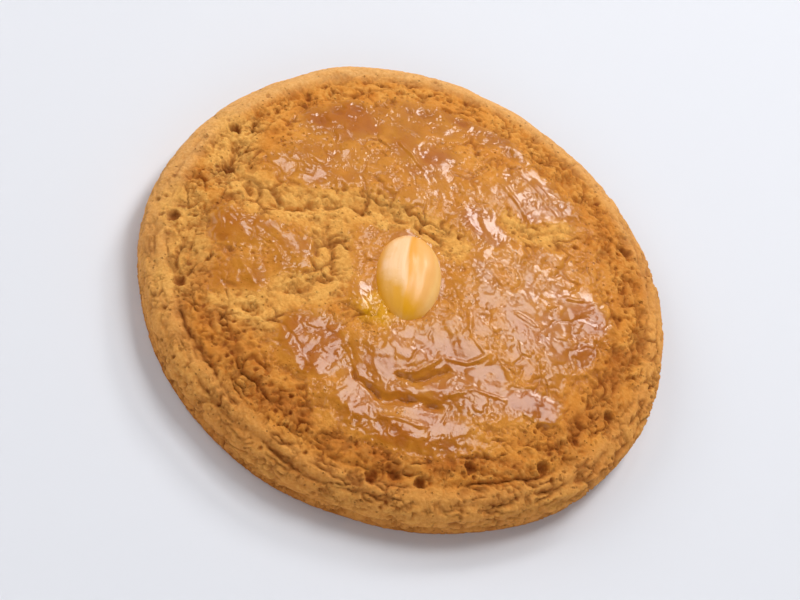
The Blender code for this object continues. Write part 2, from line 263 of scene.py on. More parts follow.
# Thin raised creases of the glaze, each a route in millimetres
CREASES = (
    ((-2.1, 10.0), (2.4, 8.8), (8.1, 5.6)),
    ((4.7, 25.8), (9.9, 23.1), (15.1, 19.7)),
    ((7.5, 29.9), (12.5, 27.6), (17.7, 24.3)),
    ((10.6, 30.0), (15.2, 27.8), (20.1, 24.9)),
    ((-14.1, 22.7), (-11.1, 21.2), (-7.0, 18.6)),
    ((-20, 25.5), (-15.5, 26.6), (-11, 26.0)),
    ((-1.0, 32.4), (4.6, 31.0), (8.2, 28.8)),
    ((18.3, 0.9), (22.7, 0.4)),
    ((30.7, 3.5), (33.5, 3.6), (35.6, 3.1)),
    ((24.6, 9.5), (28.2, 11.3)),
    ((29.0, -5.8), (32.9, -3.8), (36.2, -3.2)),
    ((5.9, -31.8), (8.6, -30.3), (13.4, -29.4)),
    ((24.0, -21.8), (26.7, -22.1), (30.0, -22.1)),
    ((5.0, -22.6), (8.2, -19.8), (10.7, -15.1)),
    ((10.7, -15.1), (15.0, -13.5), (18.2, -9.0)),
    ((14.0, -22.0), (18.0, -17.5), (24.0, -16.0)),
    ((11.0, -4.0), (13.5, -8.5), (18.0, -10.5)),
    ((-36.8, -11.9), (-33.8, -17.0), (-30.0, -22.4)),
    ((-29.2, -15.2), (-26.3, -17.4), (-23.0, -19.7)),
    ((-24.8, -10.2), (-21.0, -13.0)),
    ((6.4, -37.9), (16.4, -35.4), (23.5, -31.0)),
)
CREASE_HALF_WIDTH = 0.6 * MM
CREASE_HEIGHT = 0.20 * MM
CREASE_TAPER = 0.15
CREASE_END_HEIGHT = 0.3

# The almond half, as in the solid
ALMOND_LENGTH = 18.6 * MM
ALMOND_WIDTH = 12.0 * MM
ALMOND_RISE = 3.9 * MM
ALMOND_SINK = 2.0 * MM
ALMOND_TURN = math.radians(17)
ALMOND_TAPER = 0.07
ALMOND_GROOVE = 0.22 * MM
NEST_DIP = 0.45 * MM
NEST_WIDTH = 5.0 * MM
almond_low, almond_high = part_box("almond")
ALMOND_CENTRE = (almond_low + almond_high) / 2
ALMOND_CENTRE.z = almond_high.z - ALMOND_RISE

# The camera: where the photograph was taken from, and how much closer this view is framed
VIEW_ELEVATION = math.radians(52.34)
VIEW_ROLL = math.radians(28.79)
VIEW_DISTANCE = 490.6 * MM
FOCAL_LENGTH_PIXELS = 1158.0
PICTURE_WIDTH_PIXELS = 800.0
SENSOR_WIDTH = 36.0
CLOSER = 2.4
AIM_ABOVE = 1.1 * MM

# Soft boxes that face the cookie: name, place, width, height and power in watts
SOFT_BOXES = (
    ("high_soft_box", (0.13, 0.405, 0.82), 0.27, 0.40, 3.7),
    ("left_soft_box", (-0.80, 0.10, 0.62), 0.60, 0.60, 2.8),
    ("front_fill", (0.20, -0.86, 0.58), 0.90, 0.60, 2.2),
    ("back_glint", (0.15, 0.79, 0.60), 0.25, 0.20, 2.9),
    ("left_glint", (-0.22, 0.62, 0.76), 0.13, 0.15, 0.75),
)
WALL_WASH_PLACE = (0.3, 1.0)
WALL_WASH_TARGET = (2.0, 0.75)
WALL_WASH_SIZE = (0.8, 0.4)
WALL_WASH_POWER = 4.5
SURROUND_STRENGTH = 0.13

# The floor: flat in the middle, then curving up all round
FLOOR_RADIUS = 1.2
FLOOR_CURVE = 0.8
FLOOR_CURVE_STEPS = 12
FLOOR_STEP = 0.12


def ease(value):
    """Ease values from 0 to 1, with flat ends."""
    value = np.clip(value, 0.0, 1.0)
    return value * value * (3.0 - 2.0 * value)


def wave(places, size, seed):
    """Smooth unevenness between about -1 and 1 at each place, of a size and from a seed."""
    shifted = places / size + np.array((seed, -seed, 0.0))
    return np.array([noise.noise(place) for place in shifted.tolist()])


def patches(places, size, seed, share, contrast):
    """Soft patches from 0 to 1, by how much they cover and how sharply."""
    return ease(share + contrast * wave(places, size, seed))


def cell_borders(places, size, seed, width):
    """Thin lines from 0 to 1 along the borders of scattered cells."""
    shifted = (places / size + np.array((seed, seed * 0.7, -seed))).tolist()
    nearest, next_nearest = np.array([noise.voronoi(place)[0][:2] for place in shifted]).T
    return np.clip(1.0 - (next_nearest - nearest) / width, 0.0, 1.0)


def wandered(places, shifts):
    """x and y of each place after uneven shifts, each with its reach, size and two seeds."""
    x = places[:, 0]
    y = places[:, 1]
    for reach, size, first_seed, second_seed in shifts:
        x = x + reach * wave(places, size, first_seed)
        y = y + reach * wave(places, size, second_seed)
    return x, y


def turned(x, y, turn):
    """x and y measured along and across a direction."""
    return x * math.cos(turn) + y * math.sin(turn), -x * math.sin(turn) + y * math.cos(turn)


def gap_to(places, x=0.0, y=0.0):
    """Distance of each place from a point, seen from above."""
    return np.hypot(places[:, 0] - x, places[:, 1] - y)


def top_height(radius):
    """Height of the smooth dome at each radius."""
    share = np.clip(radius / COOKIE_RADIUS, 0.0, 1.0)
    fall = (1.0 - share ** DOME_ROUNDNESS) ** DOME_FALL
    return BELLY_HEIGHT + (CROWN_HEIGHT - BELLY_HEIGHT) * fall


def section_stations():
    """Evenly spaced points of the half section, from the top's middle round to the base's middle."""
    radii = COOKIE_RADIUS * np.sin(np.linspace(0.0, math.pi / 2, 1200))
    line = list(zip(radii, top_height(radii)))
    wall_height = BELLY_HEIGHT + BASE_TRIM
    foot_turn = math.asin((BELLY_HEIGHT - FOOT_ROUNDING) / wall_height)
    for turn in np.linspace(0.0, foot_turn, 60)[1:]:
        radius = FOOT_RADIUS + (COOKIE_RADIUS - FOOT_RADIUS) * math.cos(turn) ** WALL_FULLNESS
        line.append((radius, BELLY_HEIGHT - wall_height * math.sin(turn)))
    foot = line[-1][0]
    for turn in np.linspace(0.0, math.pi / 2, 9)[1:]:
        radius = foot - FOOT_ROUNDING * (1.0 - math.cos(turn))
        line.append((radius, FOOT_ROUNDING * (1.0 - math.sin(turn))))
    stations = [line[0]]
    walked = 0.0
    for before, after in zip(line, line[1:]):
        walked += math.dist(before, after)
        if walked >= GRAIN_STEP:
            stations.append(after)
            walked = 0.0
    under = stations[-1][0] - GRAIN_STEP
    step = GRAIN_STEP
    while under > BASE_STEP:
        stations.append((under, 0.0))
        step = min(BASE_STEP, step * 1.25)
        under -= step
    stations.append((0.0, 0.0))
    return stations


def ring_faces(inner, outer):
    """Triangles between two rings of points, each given as its first index and its count."""
    first_inner, inner_count = inner
    first_outer, outer_count = outer
    faces = []
    i = 0
    j = 0
    while i < inner_count or j < outer_count:
        here = first_inner + i % inner_count
        across = first_outer + j % outer_count
        if (i + 1) * outer_count <= (j + 1) * inner_count:
            i += 1
            ahead = first_inner + i % inner_count
        else:
            j += 1
            ahead = first_outer + j % outer_count
        if ahead not in (here, across):
            faces.append((here, across, ahead))
    return faces


def turned_rings(stations, step_at):
    """Points, outward directions and triangles of a disc turned from stations, with even triangles."""
    points = []
    outward = []
    faces = []
    before = None
    for index, (radius, height) in enumerate(stations):
        ahead = stations[min(index + 1, len(stations) - 1)]
        behind = stations[max(index - 1, 0)]
        slope = Vector((ahead[0] - behind[0], ahead[1] - behind[1])).normalized()
        count = 1
        if radius > 0.0:
            count = max(6, round(2.0 * math.pi * radius / step_at(radius, height)))
        start = len(points)
        angles = 2.0 * math.pi * np.arange(count) / count
        points.extend(zip(radius * np.cos(angles), radius * np.sin(angles), [height] * count))
        outward.extend(zip(-slope.y * np.cos(angles), -slope.y * np.sin(angles), [slope.x] * count))
        if before:
            faces.extend(ring_faces(before, (start, count)))
        before = (start, count)
    return np.array(points), np.array(outward), faces


def distance_to_route(x, y, route):
    """Distance from each place to a route, and how far along the route its nearest point lies."""
    nearest = np.full(len(x), 1.0)
    along = np.zeros(len(x))
    for index in range(len(route) - 1):
        start = np.array(route[index]) * MM
        step = np.array(route[index + 1]) * MM - start
        share = ((x - start[0]) * step[0] + (y - start[1]) * step[1]) / (step @ step)
        share = np.clip(share, 0.0, 1.0)
        gap = np.hypot(x - start[0] - step[0] * share, y - start[1] - step[1] * share)
        closer = gap < nearest
        nearest = np.where(closer, gap, nearest)
        along = np.where(closer, (index + share) / (len(route) - 1), along)
    return nearest, along


def break_depths(places):
    """Depths of the breaks through the top and of their narrow cores, and distances to bare dough."""
    x, y = wandered(places, BREAK_WANDER)
    widths = np.clip(1.0 + 0.9 * wave(places, 5.0 * MM, 13.9), 0.55, 1.6)
    opened = patches(places, *BREAK_OPENINGS)
    split = patches(places, *BREAK_SPLITS)
    depth = np.zeros(len(places))
    core = np.zeros(len(places))
    bare_gap = np.full(len(places), 1.0)
    for route, half_width, full_depth, bare in BREAKS:
        gap, along = distance_to_route(x, y, route)
        ends = ease(np.minimum(along, 1.0 - along) / BREAK_TAPER + BREAK_END_DEPTH)
        wide = np.clip(1.0 - (gap / (half_width * widths)) ** 1.5, 0.0, 1.0)
        narrow = np.clip(1.0 - gap / (0.32 * half_width * widths), 0.0, 1.0)
        depth = np.maximum(depth, full_depth * ends * wide * (0.45 + 0.55 * opened) * BREAK_SHARE)
        core = np.maximum(core, full_depth * ends * narrow * split * CORE_SHARE)
        if bare:
            bare_gap = np.minimum(bare_gap, np.maximum(gap - bare, 0.0))
    return depth, core, bare_gap


def edge_split_depths(places, radius, angle):
    """How deep the splits that follow the edge are at each place."""
    degrees = np.degrees(angle) % 360.0
    wander = 1.1 * MM * wave(places, 7.0 * MM, 2.2) + 0.5 * MM * wave(places, 2.5 * MM, 6.1)
    wander = wander + 0.28 * MM * wave(places, 0.9 * MM, 4.2)
    opened = patches(places, *EDGE_OPENINGS)
    depth = np.zeros(len(places))
    for split_radius, first, last, full_depth in EDGE_SPLITS:
        gap = np.abs(radius + wander - split_radius * MM)
        ends = ease(np.minimum(degrees - first, last - degrees) / EDGE_SPLIT_TAPER)
        wide = np.clip(1.0 - gap / EDGE_SPLIT_HALF_WIDTH, 0.0, 1.0)
        narrow = np.clip(1.0 - gap / (0.4 * EDGE_SPLIT_HALF_WIDTH), 0.0, 1.0)
        depth = np.maximum(depth, full_depth * ends * (0.4 * wide + 0.7 * narrow * opened))
    return depth


def ledge_depths(places, angle):
    """How far the ledges of the side wall cut in at each place."""
    depth = np.zeros(len(places))
    for height, full_depth, seed in WALL_LEDGES:
        ring = np.stack((np.cos(angle) * 2.2, np.sin(angle) * 2.2, np.full(len(angle), seed)), axis=1)
        level = height + 0.7 * MM * wave(ring * 2.0, 1.0, 0.0)
        level = level + 0.3 * MM * wave(places, 1.6 * MM, seed)
        opening = patches(ring, 1.0, 0.0, LEDGE_OPENING, 1.5)
        opening = opening * patches(places, 5.0 * MM, seed, 0.7, 1.2)
        gap = np.abs(places[:, 2] - level) / WALL_LEDGE_HALF_WIDTH
        depth = np.maximum(depth, full_depth * opening * np.clip(1.0 - gap, 0.0, 1.0))
    return depth


def scatter_pits():
    """The pits of the ring: each one's middle, radius and depth."""
    draw = random.Random(PIT_SEED)
    pits = []
    for _ in range(PIT_COUNT):
        angle = draw.uniform(0.0, 2.0 * math.pi)
        radius = draw.uniform(*PIT_RING)
        size = draw.uniform(*PIT_RADIUS)
        middle = (radius * math.cos(angle), radius * math.sin(angle), 0.0)
        pits.append((middle, size, PIT_SHARE * PIT_DEPTH))
    for x, y in DEEP_PITS:
        pits.append(((x * MM, y * MM, 0.0), DEEP_PIT_SHARE * DEEP_PIT_RADIUS, DEEP_PIT_DEPTH))
    return pits


def scatter_over(places, chance, count, sizes, height, seed):
    """Rounded caps on places picked by chance: each one's middle, radius and height."""
    draw = np.random.RandomState(seed)
    picked = draw.choice(len(places), count, p=chance / chance.sum())
    radii = sizes[0] + (sizes[1] - sizes[0]) * draw.random_sample(count) ** 2
    heights = height * radii * draw.uniform(0.6, 1.0, count)
    return list(zip(places[picked].tolist(), radii.tolist(), heights.tolist()))


def nearest_caps(places, caps, near):
    """The height at each place of the tallest of the nearest few caps."""
    tree = kdtree.KDTree(len(caps))
    for index, cap in enumerate(caps):
        tree.insert(cap[0], index)
    tree.balance()
    heights = []
    for place in places.tolist():
        tallest = 0.0
        for _, index, gap in tree.find_n(place, near):
            _, radius, height = caps[index]
            if gap < radius:
                tallest = max(tallest, height * math.sqrt(1.0 - (gap / radius) ** 2))
        heights.append(tallest)
    return np.array(heights)


def short_cracks(places, radius, angle):
    """Short ragged cracks from 0 to 1: along the edge further out, any way further in."""
    bend = np.stack([wave(places, 1.6 * MM, seed) for seed in (43.0, 44.5, 46.0)], axis=1)
    walk = radius + CROWN_HEIGHT - places[:, 2]
    reach = RING_CENTRE / RING_CRACK_STRETCH
    unrolled = np.stack((np.cos(angle) * reach, np.sin(angle) * reach, walk), axis=1)
    ringed = cell_borders(unrolled + 0.55 * MM * bend, RING_CRACK_SIZE, 3.3, CRACK_WIDTH)
    ringed = ringed * patches(places, *RING_CRACK_PATCHES)
    inner = cell_borders(places + 0.7 * MM * bend, TOP_CRACK_SIZE, 8.8, 0.7 * CRACK_WIDTH)
    inner = inner * patches(places, *TOP_CRACK_PATCHES)
    chinks = cell_borders(places + 0.35 * MM * bend, CHINK_SIZE, 6.1, CHINK_WIDTH)
    chinks = chinks * patches(places, *CHINK_PATCHES)
    outside = ease((radius - 31.0 * MM) / (4.0 * MM))
    return np.maximum(ringed * outside + inner * (1.0 - outside), CHINK_SHARE * chinks) ** 0.85


def almond_gap(places):
    """Distance outside the almond's outline at each place, less than 0 inside it."""
    away = places - np.array(ALMOND_CENTRE)
    across, along = turned(away[:, 0], away[:, 1], ALMOND_TURN)
    across = across / (ALMOND_WIDTH / 2)
    along = along / (ALMOND_LENGTH / 2)
    reach = np.hypot(across, along)
    size = np.hypot(across * ALMOND_WIDTH / 2, along * ALMOND_LENGTH / 2) / np.maximum(reach, 0.001)
    return (reach - 1.0) * size


def film_thickness(places, break_gap):
    """How thick the glaze lies at each place, from 0 on bare dough to 1 in the deep pools."""
    x, y = wandered(places, POOL_WANDER)
    film = GLAZE_SHEEN * patches(places, *SHEEN_PATCHES)
    for middle_x, middle_y, half_length, half_width, degrees, thickness in GLAZE_POOLS:
        along, across = turned(x - middle_x * MM, y - middle_y * MM, math.radians(degrees))
        reach = np.hypot(along / (half_length * MM), across / (half_width * MM))
        film = np.maximum(film, thickness * ease((1.2 - reach) / 0.8))
    film = film * (0.85 + 0.3 * wave(places, 4.0 * MM, 30.1)) - 0.08 * patches(places, *THIN_SPOTS)
    film = film * ease(break_gap / GLAZE_BARE_WIDTH)
    beside = ease(1.0 - almond_gap(places) / ALMOND_FILM_WIDTH)
    film = np.maximum(film, ALMOND_FILM * (beside * patches(places, *ALMOND_FILM_PATCHES)))
    film = film * ease((GLAZE_RADIUS - gap_to(places)) / GLAZE_EDGE)
    return np.clip(film, 0.0, 1.0)


def folded_sheet(places, size, degrees, seed, stretch):
    """Flat facets between sharp creases, as a crumpled sheet has, between about -1 and 1."""
    x, y = wandered(places, ((FOLD_BEND * size, size * 1.3, seed + 0.3, seed + 4.7),))
    along, across = turned(x, y, math.radians(degrees))
    row = across / size / math.sin(math.pi / 3)
    column = along / (size * stretch) - 0.5 * row
    first_row = np.floor(row).astype(int)
    first_column = np.floor(column).astype(int)
    up = row - first_row
    over = column - first_column
    heights = np.random.RandomState(seed).uniform(-1.0, 1.0, (64, 64))

    def corner(column_step, row_step):
        return heights[(first_column + column_step) % 64, (first_row + row_step) % 64]

    lower = corner(0, 0) * (1.0 - up - over) + corner(1, 0) * over + corner(0, 1) * up
    upper = corner(1, 1) * (up + over - 1.0) + corner(1, 0) * (1.0 - up) + corner(0, 1) * (1.0 - over)
    return np.where(up + over < 1.0, lower, upper)


def film_folds(places, film):
    """The crumpled folds of the glaze: strong where it is thin, at the right and below."""
    lively = ease(0.42 + (places[:, 0] - 1.1 * places[:, 1]) / (55.0 * MM))
    lively = (0.45 + 0.55 * lively) * (1.0 - 0.6 * ease(film * 2.4 - 1.1))
    lively = lively * (0.15 + 0.85 * ease(almond_gap(places) / (4.5 * MM)))
    folds = np.zeros(len(places))
    for size, height, degrees, seed in FILM_FOLDS:
        folds += height * folded_sheet(places, size, degrees, seed, FOLD_STRETCH)
    hatched = np.zeros(len(places))
    for x, y, reach in HATCHES:
        away = gap_to(places, x * MM, y * MM)
        hatched = np.maximum(hatched, ease(1.4 - away / (reach * MM)))
    hatch = HATCH_HEIGHT * folded_sheet(places, HATCH_SIZE, HATCH_TURN, 31, HATCH_STRETCH)
    x, y = wandered(places, CREASE_WANDER)
    raised = np.zeros(len(places))
    for route in CREASES:
        gap, along = distance_to_route(x, y, route)
        ends = ease(np.minimum(along, 1.0 - along) / CREASE_TAPER + CREASE_END_HEIGHT)
        raised = np.maximum(raised, np.clip(1.0 - gap / CREASE_HALF_WIDTH, 0.0, 1.0) * ends)
    return folds * lively * (1.0 - 0.8 * hatched) + hatch * hatched + CREASE_HEIGHT * raised


def skin_folds(places):
    """The large folds of the glazed skin, as creases between rounded ridges."""
    sideways = wave(places, WRINKLE_BEND_SCALE, 4.4)
    lengthways = wave(places, WRINKLE_BEND_SCALE, 6.6)
    bend = np.stack((sideways, lengthways, np.zeros(len(places))), axis=1)
    folded = wave(places + WRINKLE_BEND * bend, WRINKLE_SCALE, 12.5)
    crease = 1.0 - np.minimum(1.0, 3.0 * np.abs(folded))
    inside = ease((WRINKLED_RADIUS - gap_to(places)) / WRINKLE_EASE)
    return -WRINKLE_HEIGHT * FOLD_SHARE_OF_SKIN * crease * inside


def smooth_side(places):
    """How near each place is to the side where the rim stayed smooth, from 0 to 1."""
    angle = np.arctan2(places[:, 1], places[:, 0])
    return ease(0.35 + 0.65 * np.cos(angle - SMOOTH_RIM_ANGLE))


def form_of_top(places):
    """The broad relief that the dough and the glaze share, and how far each place lies on the top."""
    radius = gap_to(places)
    rolled = 0.25 + 0.75 * smooth_side(places)
    on_top = ease((places[:, 2] - BELLY_HEIGHT) / TOP_EASE)
    ring = ease(1.0 - np.abs(radius - RING_CENTRE) / RING_HALF_WIDTH)
    roll = ease(1.0 - np.abs(radius - RIM_ROLL_CENTRE) / RIM_ROLL_HALF_WIDTH)
    swell = SWELL_HEIGHT * (wave(places, SWELL_SCALE, 1.7) + 0.5 * wave(places, SWELL_SCALE / 2, 3.1))
    plain_gap = np.full(len(places), 1.0)
    for route, _, _, _ in BREAKS:
        plain_gap = np.minimum(plain_gap, distance_to_route(places[:, 0], places[:, 1], route)[0])
    plates = PLATE_RISE * ease(plain_gap / PLATE_SHOULDER)
    centre_gap = gap_to(places, ALMOND_CENTRE.x, ALMOND_CENTRE.y)
    nest = NEST_DIP * ease(1.0 - (centre_gap - ALMOND_WIDTH / 2) / NEST_WIDTH)
    height = swell + skin_folds(places) + plates - nest + (RIM_ROLL * roll - RING_DIP * ring) * rolled
    return height * on_top, on_top, ring


def store(piece, marks):
    """Keep named values for each point of a piece, for its material."""
    for name, values in marks.items():
        kept = piece.data.attributes.new(name, "FLOAT", "POINT")
        kept.data.foreach_set("value", np.asarray(values, np.float32))


def mesh_piece(name, points, faces, marks):
    """A smooth mesh object, with values kept for its points."""
    mesh = bpy.data.meshes.new(name)
    mesh.from_pydata(points.tolist(), [], faces)
    mesh.validate()
    mesh.shade_smooth()
    piece = bpy.data.objects.new(name, mesh)
    bpy.context.scene.collection.objects.link(piece)
    store(piece, marks)
    return piece


def centre_shift(points):
    """How far the uneven outline's box lies off the Z axis."""
    low = points.min(axis=0)
    high = points.max(axis=0)
    return np.array(((low[0] + high[0]) / 2, (low[1] + high[1]) / 2, 0.0))


def stretch_outline(points):
    """Give points of the round disc the cookie's uneven outline."""
    angle = np.arctan2(points[:, 1], points[:, 0])
    edge = np.full(len(points), COOKIE_RADIUS)
    for count, height, phase in OUTLINE_WAVES:
        edge += height * np.sin(count * angle + phase)
    stretch = 1.0 + (edge / COOKIE_RADIUS - 1.0) * (gap_to(points) / COOKIE_RADIUS) ** 2
    return points * np.stack((stretch, stretch, np.ones(len(points))), axis=1)


def honey_share(places):
    """How much of the yellow glaze that gathered at the almond's lower end lies at each place."""
    x, y, reach = HONEY_POOL
    away = gap_to(places, x * MM, y * MM)
    return ease(1.25 - away / (reach * MM) + 0.5 * wave(places, 2.5 * MM, 85.0))


def calmed(relief, shares, smooth, covered):
    """Relief with its shares taken away by the smooth rim and by the glaze."""
    return relief * (1.0 - shares[0] * smooth) * (1.0 - shares[1] * covered)


def baked_skin():
    """All that the dough and its glaze share: places, directions, triangles, relief and finish."""
    stations = section_stations()

    def step_at(radius, height):
        coarser = min(1.0, (FOOT_RADIUS - radius) / (8.0 * MM) + 0.15)
        return GRAIN_STEP if height > 0.0 else GRAIN_STEP + (BASE_STEP - GRAIN_STEP) * coarser

    places, outward, faces = turned_rings(stations, step_at)
    radius = gap_to(places)
    angle = np.arctan2(places[:, 1], places[:, 0])
    form, on_top, ring = form_of_top(places)
    above = ease(places[:, 2] / (0.6 * MM))
    on_wall = ease((radius - WALL_STARTS) / WALL_EASE) * above
    breaks, cores, break_gap = break_depths(places)
    splits = edge_split_depths(places, radius, angle)
    ledges = LEDGE_SHARE * ledge_depths(places, angle)
    film = film_thickness(places, break_gap) * on_top
    covered = ease((film - COVER_STARTS) / COVER_EASE)
    torn = ease(1.0 - break_gap / TORN_WIDTH) * on_top * (1.0 - 0.8 * covered)
    rim = ease((radius - 41.5 * MM) / (2.5 * MM))
    smooth = rim * smooth_side(places)

    bend = np.stack([wave(places, 0.9 * MM, seed) for seed in (53.0, 56.0, 59.0)], axis=1)
    warped = places + CRUMB_WARP * bend
    flat = (warped + CRUMB_WARP * bend) * np.array((1.0, 1.0, 0.0))
    pits = nearest_caps(flat, scatter_pits(), 3)
    grains = scatter_over(places, above, CRUMB_COUNT, CRUMB_RADIUS, CRUMB_HEIGHT, 61)
    crumbs = nearest_caps(warped, grains, 6)
    clustered = above * (0.35 + ring + 0.3 * torn) * patches(places, *PORE_PATCHES)
    clustered = calmed(clustered, PORES_CALMED, smooth, covered)
    holes = scatter_over(places, clustered, PORE_COUNT, PORE_RADIUS, PORE_HEIGHT, 71)
    pores = nearest_caps(warped, holes, 3) * (1.0 - covered)
    cracks = calmed(short_cracks(places, radius, angle), CRACKS_CALMED, smooth, covered) * above

    crumbly = np.clip(0.45 + 0.5 * ring + 0.5 * torn + 0.35 * on_wall, 0.0, 1.1)
    crumbly = crumbly * (0.5 + 0.65 * patches(places, *CRUMB_PATCHES))
    crumbly = calmed(crumbly, CRUMBS_CALMED, smooth, covered) * above
    crumble = CRUMBLE_HEIGHT * (0.35 + ring) * wave(places, CRUMBLE_SCALE, 7.7)
    crumble = crumble * (1.0 - 0.6 * covered)
    fine = wave(places, 1.3 * MM, 50.5) + 0.8 * wave(places, 0.7 * MM, 52.0)
    fine = FINE_HEIGHT * (fine + 0.6 * wave(places, 0.42 * MM, 57.0))
    fine = calmed(fine, FINE_CALMED, smooth, covered) * above
    folds = film_folds(places, film) * covered * on_top
    beside = ease(1.0 - almond_gap(places) / ALMOND_LIP_WIDTH)
    beside = beside * patches(places, *ALMOND_LIP_PATCHES)
    cuts = np.maximum(pits * (1.0 - 0.6 * covered), pores)
    cuts = np.maximum(np.maximum(breaks + cores, splits), cuts)
    height = form + folds + ALMOND_LIP * beside * covered
    height = height + on_top * (crumble - cuts) + crumbly * (crumbs - CRUMB_LEVEL) + fine
    height = height - CRACK_DEPTH * cracks * (0.5 + 0.5 * np.minimum(crumbly, 1.0))
    height = height - on_wall * (ledges + (1.0 - on_top) * pores)

    # Painted shade: a mask that darkens breaks, splits, pits, pores, cracks, ledges and the low places
    # between crumbs
    low = crumbly * (1.0 - np.clip(crumbs / CRUMB_LEVEL, 0.0, 1.0))
    painted_cavity_shade = ((cores + 0.75 * splits + 0.9 * pits) / (1.1 * MM) + pores / (0.7 * MM)) * on_top
    painted_cavity_shade = np.maximum(painted_cavity_shade, on_wall * (0.7 * ledges / (1.1 * MM) + pores / (0.7 * MM)))
    painted_cavity_shade = np.clip(np.maximum(painted_cavity_shade, 0.8 * cracks) + 0.12 * low, 0.0, 1.0)
    browned = ease(1.0 - np.abs(radius - BROWNED_RADIUS) / BROWNED_HALF_WIDTH)
    browned = browned * (1.0 - smooth_side(places))
    marks = {
        "painted_cavity_shade": painted_cavity_shade,
        "browned": browned * patches(places, *BROWNED_PATCHES),
        "film": film,
        # height of the glaze's folds, read for painted shade in their valleys
        "fold": np.clip(0.5 + folds / (0.9 * MM), 0.0, 1.0),
        # the rim's own pale tan, painted paler towards the side where the rim stayed smooth, as
        # painted light
        "rim": np.maximum(rim, 1.0 - on_top) * (0.32 + 0.68 * smooth_side(places)),
        # height of the raised crumbs, read for a painted highlight on their tops
        "crumb": np.clip(crumbly * crumbs / (1.6 * CRUMB_LEVEL), 0.0, 1.0),
        "torn": torn,
        "honey": honey_share(places),
    }
    return SimpleNamespace(places=places, outward=outward, faces=np.array(faces), radius=radius,
                           height=height, film=film, marks=marks)


def make_dough(skin):
    """The baked dough, with crumbs, pores, breaks, splits, cracks and ledges."""
    lowered = skin.height - GLAZE_THICKNESS * ease((skin.film - 0.16) / 0.3)
    under = (skin.places[:, 2] < 0.02 * MM) & (skin.radius < FOOT_RADIUS)
    hollow = BASE_HOLLOW * patches(skin.places, *BASE_PATCHES)
    hollow = hollow * ease((FOOT_RADIUS - skin.radius) / (4.0 * MM))
    points = stretch_outline(skin.places + skin.outward * lowered[:, None])
    points[:, 2] = np.where(under, hollow, np.maximum(points[:, 2], 0.0))
    shift = centre_shift(points)
    return mesh_piece("dough", points - shift, skin.faces.tolist(), skin.marks), shift


def make_glaze(skin, shift):
    """The thin crumpled glaze, a closed shell that dives under the dough where it thins out."""
    sunk = GLAZE_DIVE * (1.0 - ease((skin.film - GLAZE_SHOWS) / GLAZE_DIVE_EASE))
    height = skin.height + GLAZE_LIFT - sunk
    points = stretch_outline(skin.places + skin.outward * height[:, None]) - shift
    highest = skin.film[skin.faces].max(axis=1)
    on_dome = (skin.places[:, 2] > BELLY_HEIGHT)[skin.faces].all(axis=1)
    keep = skin.faces[(highest > GLAZE_SHOWS) & on_dome]
    used, packed = np.unique(keep, return_inverse=True)
    marks = {name: values[used] for name, values in skin.marks.items()}
    glaze = mesh_piece("glaze", points[used], packed.reshape(keep.shape).tolist(), marks)
    thicken = glaze.modifiers.new("shell", "SOLIDIFY")
    thicken.thickness = SHELL_THICKNESS
    thicken.offset = -1.0
    thicken.use_rim = True
    return glaze


def make_almond():
    """Half an almond, with two broad lengthwise lobes and faint ridges."""
    bpy.ops.mesh.primitive_uv_sphere_add(segments=128, ring_count=72, radius=1.0)
    almond = bpy.context.object
    almond.name = "almond_half"
    mesh = almond.data
    mesh.name = "almond_half"
    points = np.array([vertex.co[:] for vertex in mesh.vertices])
    x, y, z = points.T
    up = np.maximum(z, 0.0)
    width = ALMOND_WIDTH / 2 * (1.0 + ALMOND_TAPER * y * (1.0 - 0.6 * y))
    across = x / np.maximum(np.sqrt(np.maximum(1.0 - y * y, 0.0)), 0.05)
    height = np.where(z > 0.0, ALMOND_RISE, ALMOND_SINK) * z
    height = height - ALMOND_GROOVE * up * np.exp(-((across - 0.14) / 0.2) ** 2)
    ridges = np.cos(across * 19.0 + 1.5 * np.sin(3.0 * y))
    height = height + 0.02 * MM * up * ridges * ease((1.0 - np.abs(y)) / 0.4)
    shaped = np.stack((width * x, ALMOND_LENGTH / 2 * y, height), axis=1)
    shaped[:, 2] += up * 0.16 * MM * wave(shaped, 4.0 * MM, 111.0)
    mesh.vertices.foreach_set("co", shaped.ravel())
    mesh.shade_smooth()
    almond.location = ALMOND_CENTRE
    almond.rotation_euler = (0.0, 0.0, ALMOND_TURN)
    store(almond, {"across": across, "along": y})
    return almond


def new_group(name, outputs, **inputs):
    """A shader node group with named outputs, and named numbers as inputs."""
    group = bpy.data.node_groups.new(name, "ShaderNodeTree")
    for label, value in inputs.items():
        socket = group.interface.new_socket(label, in_out="INPUT", socket_type="NodeSocketFloat")
        socket.default_value = value
    for label, kind in outputs.items():
        group.interface.new_socket(label, in_out="OUTPUT", socket_type="NodeSocket" + kind)
    return group, group.nodes.new("NodeGroupInput"), group.nodes.new("NodeGroupOutput")


def plug(tree, socket, value):
    """Put a number, a colour or another node's output on a socket."""
    if isinstance(value, bpy.types.NodeSocket):
        tree.links.new(value, socket)
    elif isinstance(value, tuple):
        socket.default_value = (*value, 1.0)
    else:
        socket.default_value = value


def fill(tree, node, **values):
    """Put values on the named inputs of a node."""
    for key, value in values.items():
        plug(tree, node.inputs[key.replace("_", " ")], value)


def add(tree, kind, **values):
    """A node in a tree, with values on its named inputs."""
    node = tree.nodes.new(kind)
    fill(tree, node, **values)
    return node


def use_group(tree, group, **values):
    """A group placed in a tree with its own values."""
    node = tree.nodes.new("ShaderNodeGroup")
    node.node_tree = group
    fill(tree, node, **values)
    return node


def math_node(tree, operation, *values, clamp=False):
    """The output of one sum in a tree."""
    node = tree.nodes.new("ShaderNodeMath")
    node.operation = operation
    node.use_clamp = clamp
    for socket, value in zip(node.inputs, values):
        plug(tree, socket, value)
    return node.outputs[0]


